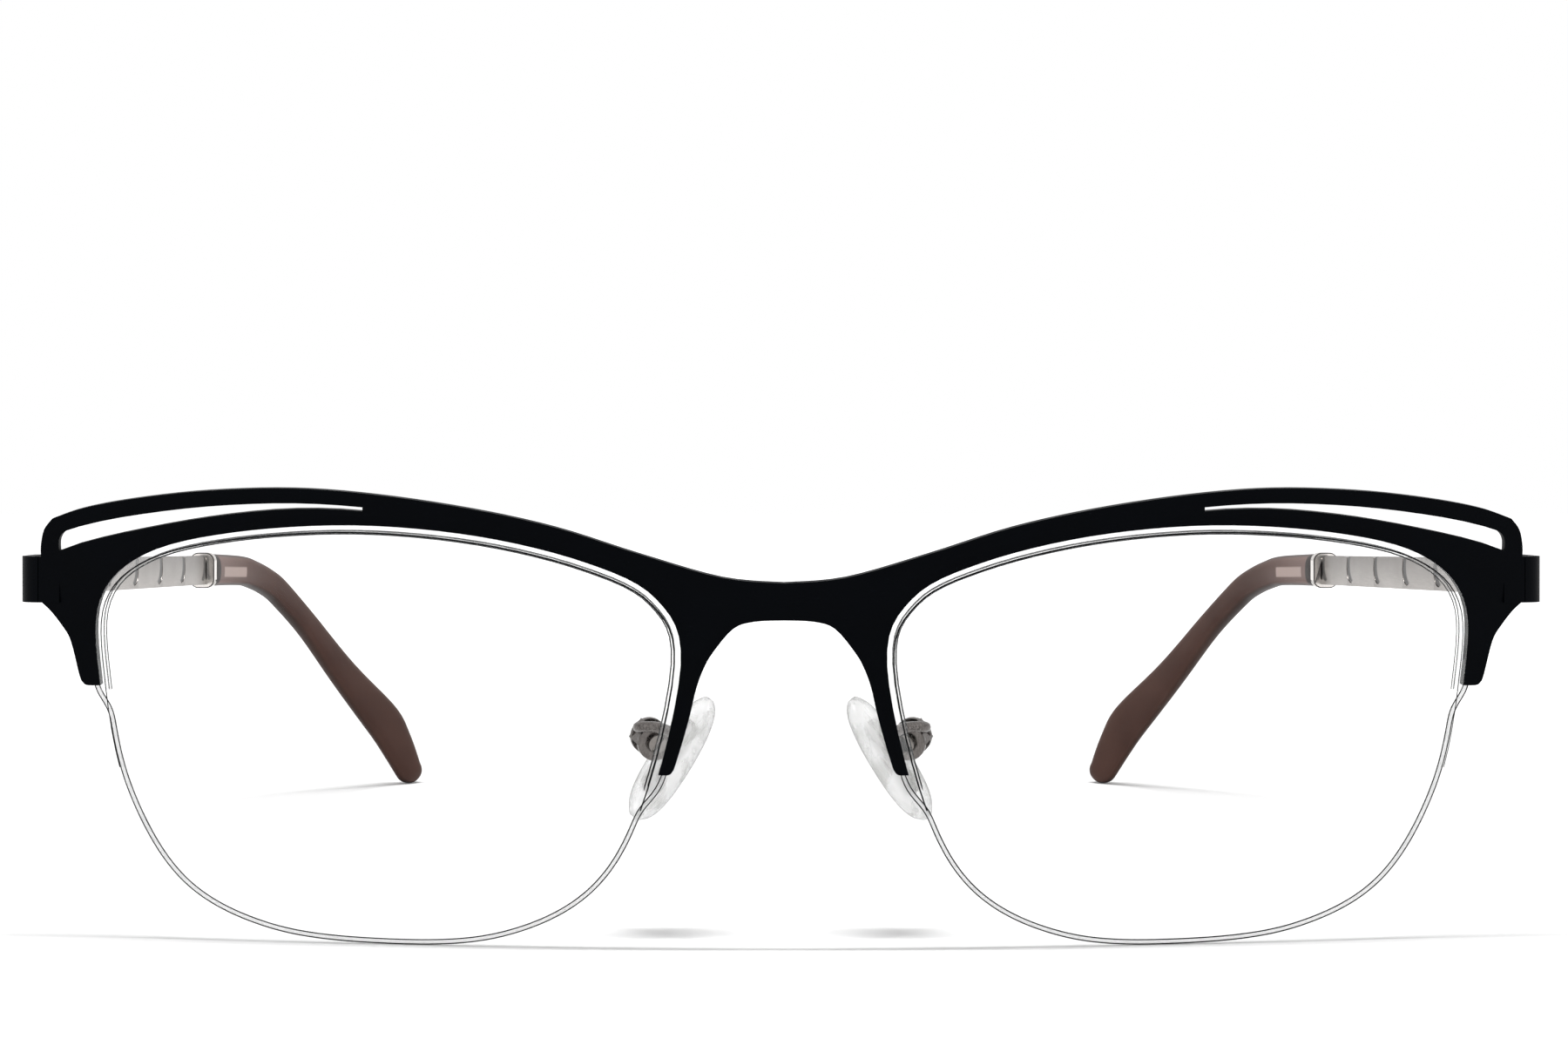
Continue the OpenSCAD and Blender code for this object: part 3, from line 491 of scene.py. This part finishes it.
def broken_edges(piece, size, angle=38, edge_slot=-1, segments=2):
    """Rounds the sharp edges of a finished shell and shades it smooth."""
    bevel = piece.modifiers.new("broken_edges", "BEVEL")
    bevel.width = size
    bevel.segments = segments
    bevel.limit_method = "ANGLE"
    bevel.angle_limit = math.radians(angle)
    bevel.use_clamp_overlap = True
    bevel.miter_outer = "MITER_ARC"
    bevel.material = edge_slot
    apply_modifiers(piece)
    bpy.ops.object.shade_smooth()
    normals = piece.modifiers.new("even_shading", "WEIGHTED_NORMAL")
    normals.keep_sharp = True
    apply_modifiers(piece)


def surface_tree(mesh, polygons):
    """Search tree over those polygons of a mesh."""
    return BVHTree.FromPolygons([v.co for v in mesh.vertices], [p.vertices[:] for p in polygons])


def mark_contact(piece, neighbour, reach):
    """Gives the faces that lie within reach of a neighbour's solid the piece's second material."""
    wall = surface_tree(neighbour, neighbour.polygons)
    for polygon in piece.data.polygons:
        if wall.find_nearest(polygon.center)[3] < reach:
            polygon.material_index = 1


def smoothed(piece):
    """Rounds a lofted shell by subdividing it twice."""
    rounding = piece.modifiers.new("rounding", "SUBSURF")
    rounding.levels = 2
    rounding.render_levels = 2
    apply_modifiers(piece)
    bpy.ops.object.shade_smooth()


def finish_piece(piece, body, node):
    """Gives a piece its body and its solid."""
    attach(piece, body)
    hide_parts(node)
    return piece


class BROWLINE_OT_stage(bpy.types.Operator):
    """Add the white table, the soft lights and the camera"""
    bl_idname = "browline.stage"
    bl_label = "Table, lights and camera"

    def execute(self, context):
        stage = context.scene.browline_stage
        self.camera(context, stage)
        bpy.ops.object.select_all(action="DESELECT")
        bpy.ops.mesh.primitive_plane_add(size=stage.floor_size, location=(0, 0, 0))
        table = context.active_object
        table.name = "white_table"
        table.data.materials.append(white_table())
        for name, place, aim, size, power in (
                ("strip_light_top", (0.0, -0.15, 0.9), (0, -0.06, 0), (0.5, 0.04), 7.2),
                ("soft_light_left", (-0.8, -0.5, 0.5), (0, 0, 0.02), (0.7, 0.7), 1.9),
                ("soft_light_right", (0.8, -0.35, 0.45), (0, 0, 0.02), (0.7, 0.7), 1.6)):
            self.lamp(context, name, Vector(place), Vector(aim), size, power)
        self.room(context)
        return {"FINISHED"}

    def camera(self, context, stage):
        lens = bpy.data.cameras.new("photo_camera")
        lens.sensor_width = 36
        lens.lens = stage.focal
        lens.shift_x, lens.shift_y = stage.shift
        lens.clip_start = 0.01
        camera = bpy.data.objects.new("photo_camera", lens)
        camera.location = stage.camera
        camera.rotation_euler = (math.radians(90), 0, 0)
        context.scene.collection.objects.link(camera)
        context.scene.camera = camera

    def lamp(self, context, name, place, aim, size, power):
        light = bpy.data.lights.new(name, "AREA")
        light.shape = "RECTANGLE"
        light.size, light.size_y = size
        light.energy = power
        lamp = bpy.data.objects.new(name, light)
        lamp.location = place
        lamp.rotation_euler = (aim - place).to_track_quat("-Z", "Y").to_euler()
        context.scene.collection.objects.link(lamp)

    def room(self, context):
        world = bpy.data.worlds.new("white_room")
        world.use_nodes = True
        tree = world.node_tree
        tree.nodes.clear()
        seen = seen_rays(tree)
        strength = add(tree, "ShaderNodeMapRange", {"Value": seen, "To Min": 0.3, "To Max": 1.0})
        back = add(tree, "ShaderNodeBackground", {"Color": linear("ffffff"),
                                                  "Strength": strength.outputs[0]})
        add(tree, "ShaderNodeOutputWorld", {"Surface": back.outputs[0]})
        context.scene.world = world
        context.scene.view_settings.view_transform = "Standard"


class BROWLINE_OT_brow(bpy.types.Operator):
    """Finish the stamped black front with rounded edges"""
    bl_idname = "browline.brow"
    bl_label = "Brow front"

    def execute(self, context):
        piece = worked_copy("brow_front", "brow", [baked_enamel()])
        broken_edges(piece, context.scene.browline_edges.brow, segments=3)
        finish_piece(piece, "front", "brow_front")
        return {"FINISHED"}


class BROWLINE_OT_lenses(bpy.types.Operator):
    """Finish both lenses with polished faces and a ground safety bevel"""
    bl_idname = "browline.lenses"
    bl_label = "Lenses"

    def execute(self, context):
        finish = context.scene.browline_finish
        face, rim = lens_plastic(), ground_edge("ground_lens_edge", finish.edge, 1.0, 1.0)
        wall = ground_edge("polished_lens_wall", linear("e6e8e8"), 0.01, 0.05)
        for side in SIDES:
            piece = worked_copy("lens_" + side, "demo_lens_" + side, [face, rim, wall])
            for polygon in piece.data.polygons:
                if abs(polygon.normal.y) < 0.5:
                    polygon.material_index = 2
            broken_edges(piece, context.scene.browline_edges.lens, angle=50, edge_slot=1)
            self.keep_front_line(piece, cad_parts["lens_cord_" + side].data)
            finish_piece(piece, "front", "lens_" + side)
        return {"FINISHED"}

    def keep_front_line(self, piece, cord):
        """Leaves the painted dark line of the ground edge on the front bevel, where no cord runs beside it.
        """
        front = surface_tree(piece.data, [p for p in piece.data.polygons if p.normal.y < -0.8])
        beside = surface_tree(cord, cord.polygons)
        for polygon in piece.data.polygons:
            behind = front.find_nearest(polygon.center)[3] > FRONT_REACH
            corded = beside.find_nearest(polygon.center)[3] < CORD_REACH
            if polygon.material_index == 1 and (behind or corded):
                polygon.material_index = 2


class BROWLINE_OT_liners(bpy.types.Operator):
    """Finish the clear liners between brow and lenses"""
    bl_idname = "browline.liners"
    bl_label = "Rim liners"

    def execute(self, context):
        body = clear_nylon("clear_liner_strip", linear("fcfdfd"), linear("e2e4e4"), 0.12, 0.2, 0.7)
        line = ground_edge("liner_edge_line", linear("3c3f41"), 0.02, 0.08)
        for side in SIDES:
            piece = worked_copy("rim_liner_" + side, "liner_" + side, [body, line])
            broken_edges(piece, context.scene.browline_edges.liner, angle=50, edge_slot=1, segments=1)
            finish_piece(piece, "front", "rim_liner_" + side)
        return {"FINISHED"}


class BROWLINE_OT_cords(bpy.types.Operator):
    """Finish the nylon cords under the lenses"""
    bl_idname = "browline.cords"
    bl_label = "Lens cords"

    def execute(self, context):
        nylon = clear_nylon("drawn_nylon_cord", linear("fdfdfd"), linear("030404"), 0.3, 1.0, 0.13)
        for side in SIDES:
            piece = worked_copy("lens_cord_" + side, "nylon_cord_" + side, [nylon], quads=True)
            smoothed(piece)
            finish_piece(piece, "front", "lens_cord_" + side)
        return {"FINISHED"}


class BROWLINE_OT_pads(bpy.types.Operator):
    """Finish the silicone nose pads and the inserts in them"""
    bl_idname = "browline.pads"
    bl_label = "Nose pads"

    def execute(self, context):
        silicone, insert = clear_silicone(), clear_insert()
        for side in SIDES:
            pad = worked_copy("nose_pad_" + side, "silicone_pad_" + side, [silicone], quads=True)
            smoothed(pad)
            finish_piece(pad, "pad_body_" + side, "nose_pad_" + side)
            core = worked_copy("pad_core_" + side, "pad_insert_" + side, [insert])
            broken_edges(core, context.scene.browline_edges.hardware)
            finish_piece(core, "pad_body_" + side, "pad_core_" + side)
        return {"FINISHED"}


class BROWLINE_OT_hardware(bpy.types.Operator):
    """Finish pad arms, hinge leaves and screws"""
    bl_idname = "browline.hardware"
    bl_label = "Pad arms, hinges and screws"

    def execute(self, context):
        finish = context.scene.browline_finish
        bare = brushed_steel("bare_stainless_steel", finish.bare, "z", 0.12, 0.2, 0.36, linear("45413f"))
        bright = brushed_steel("turned_screw_steel", finish.bright, "z", 0.08, 0.14, 0.3, linear("6b6764"))
        edge = painted_edge_shade("dark_hardware_edge", finish.edge_and_press_shade)
        for side in SIDES:
            for node, name, body, slot, steel in (
                    ("pad_arm_", "pad_wire_and_box_", "front", "bare_steel", bare),
                    ("hinge_front_leaf_", "end_piece_hinge_", "front", "bare_steel", bare),
                    ("hinge_temple_leaf_", "temple_hinge_", "temple_body_" + side, "bare_steel", bare),
                    ("pad_screw_", "pad_box_screw_", "front", "screw_steel", bright),
                    ("hinge_screw_", "hinge_pin_screw_", "front", "screw_steel", bright)):
                piece = worked_copy(node + side, name + side, [steel, edge])
                broken_edges(piece, context.scene.browline_edges.hardware, edge_slot=1)
                finish_piece(piece, body, node + side)
        return {"FINISHED"}


class BROWLINE_OT_temples(bpy.types.Operator):
    """Finish the petalled metal temples and their collars"""
    bl_idname = "browline.temples"
    bl_label = "Temples and collars"

    def execute(self, context):
        finish = context.scene.browline_finish
        strip = petalled_strip()
        ring = brushed_steel("polished_collar_steel", finish.collar, "z", 0.1, 0.12, 0.24, linear("bdb8b4"))
        edge = painted_edge_shade("dark_pressed_line", finish.edge_and_press_shade)
        for side in SIDES:
            piece = worked_copy("temple_" + side, "temple_strip_" + side, [strip, edge])
            self.darken_presses(piece)
            broken_edges(piece, context.scene.browline_edges.temple, edge_slot=1)
            finish_piece(piece, "temple_body_" + side, "temple_" + side)
            collar = worked_copy("collar_" + side, "tip_collar_" + side, [ring, edge])
            broken_edges(collar, context.scene.browline_edges.temple, edge_slot=1)
            finish_piece(collar, "temple_body_" + side, "collar_" + side)
        return {"FINISHED"}

    def darken_presses(self, piece):
        """Gives the floors of the pressed crescents the dark edge material, as painted shade in the
        presses.
        """
        for polygon in piece.data.polygons:
            heights = [piece.data.vertices[i].co.z for i in polygon.vertices]
            low = max(heights) - min(heights) < PRESS_HEIGHT
            if abs(polygon.normal.x) > 0.9 and polygon.area < PRESS_AREA and low:
                polygon.material_index = 1


class BROWLINE_OT_tips(bpy.types.Operator):
    """Finish the brown temple tips"""
    bl_idname = "browline.tips"
    bl_label = "Temple tips"

    def execute(self, context):
        acetate, bore = brown_acetate(), open_bore()
        for side in SIDES:
            piece = worked_copy("temple_tip_" + side, "brown_tip_" + side, [acetate, bore], quads=True)
            mark_contact(piece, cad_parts["temple_" + side].data, BORE_REACH)
            smoothed(piece)
            finish_piece(piece, "temple_body_" + side, "temple_tip_" + side)
        return {"FINISHED"}


class BROWLINE_PT_panel(bpy.types.Panel):
    """Lists the pieces of the glasses"""
    bl_idname = "BROWLINE_PT_panel"
    bl_label = "Browline glasses"
    bl_space_type = "VIEW_3D"
    bl_region_type = "UI"
    bl_category = "Browline"

    def draw(self, context):
        for operator in OPERATORS:
            self.layout.operator(operator.bl_idname)
        for group in ("browline_finish", "browline_edges", "browline_stage"):
            box = self.layout.box()
            settings = getattr(context.scene, group)
            for key in settings.bl_rna.properties.keys():
                if key not in ("rna_type", "name"):
                    box.prop(settings, key)


OPERATORS = (BROWLINE_OT_stage, BROWLINE_OT_brow, BROWLINE_OT_lenses, BROWLINE_OT_liners, BROWLINE_OT_cords,
             BROWLINE_OT_pads, BROWLINE_OT_hardware, BROWLINE_OT_temples, BROWLINE_OT_tips)
GROUPS = (BrowlineFinish, BrowlineEdges, BrowlineStage)


def register():
    for cls in GROUPS + OPERATORS + (BROWLINE_PT_panel,):
        bpy.utils.register_class(cls)
    bpy.types.Scene.browline_finish = bpy.props.PointerProperty(type=BrowlineFinish)
    bpy.types.Scene.browline_edges = bpy.props.PointerProperty(type=BrowlineEdges)
    bpy.types.Scene.browline_stage = bpy.props.PointerProperty(type=BrowlineStage)


def unregister():
    del bpy.types.Scene.browline_stage
    del bpy.types.Scene.browline_edges
    del bpy.types.Scene.browline_finish
    for cls in reversed(GROUPS + OPERATORS + (BROWLINE_PT_panel,)):
        bpy.utils.unregister_class(cls)


def main():
    register()
    for operator in OPERATORS:
        getattr(bpy.ops.browline, operator.bl_idname.split(".")[1])()


if __name__ == "__main__":
    main()
